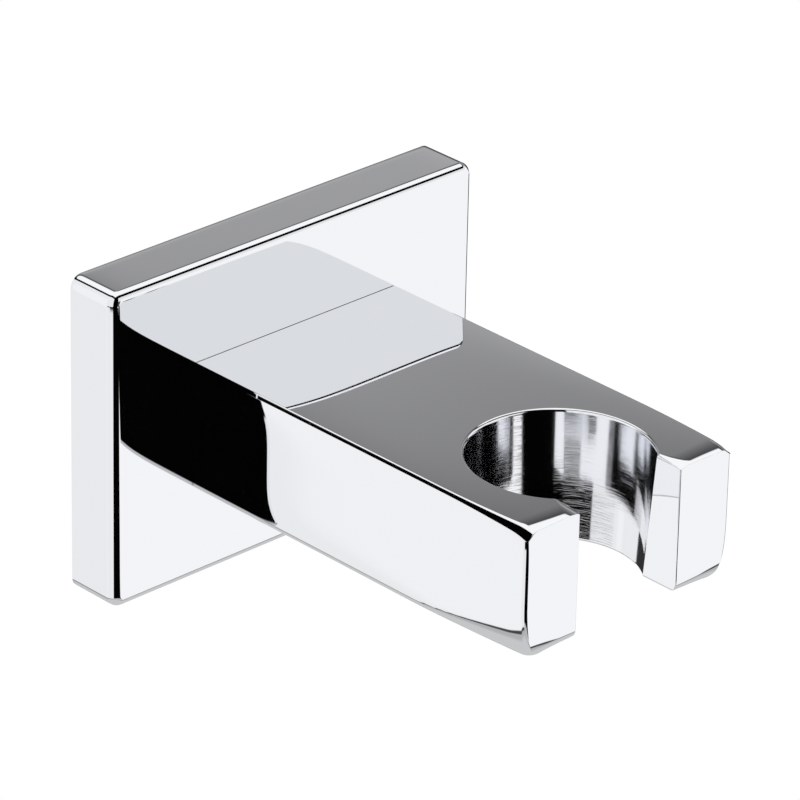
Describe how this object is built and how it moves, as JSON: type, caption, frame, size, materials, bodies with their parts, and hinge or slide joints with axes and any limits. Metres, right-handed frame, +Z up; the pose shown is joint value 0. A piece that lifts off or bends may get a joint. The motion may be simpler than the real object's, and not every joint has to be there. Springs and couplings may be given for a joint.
{
  "type": "hand shower holder",
  "caption": "Wall holder for a hand shower: a rectangular cover plate with a square arm that ends in a conical socket, open at the front by a slot for the hose.",
  "frame": {"origin": "on the wall plane, at the middle of the plate's back", "axes": "+Y into the wall, -Y along the arm to its tip, +X along the plate's width, +Z up along the socket's axis towards its wide end"},
  "size_m": [0.06, 0.066, 0.0428],
  "materials": {
    "plate_chrome": "mirror polished chrome plate on brass",
    "arm_chrome": "mirror polished chrome plate on brass, turned inside the socket",
    "zinc_plated_steel": "bright zinc plated",
    "cast_zinc": "bare zinc casting, tumbled",
    "stainless_steel": "plain stainless steel"
  },
  "bodies": {
    "root": {"cover_plate": "plate_chrome", "holder_arm": "arm_chrome", "arm_screws": "zinc_plated_steel", "wall_bracket": "cast_zinc", "grub_screw": "stainless_steel"}
  },
  "joints": []
}
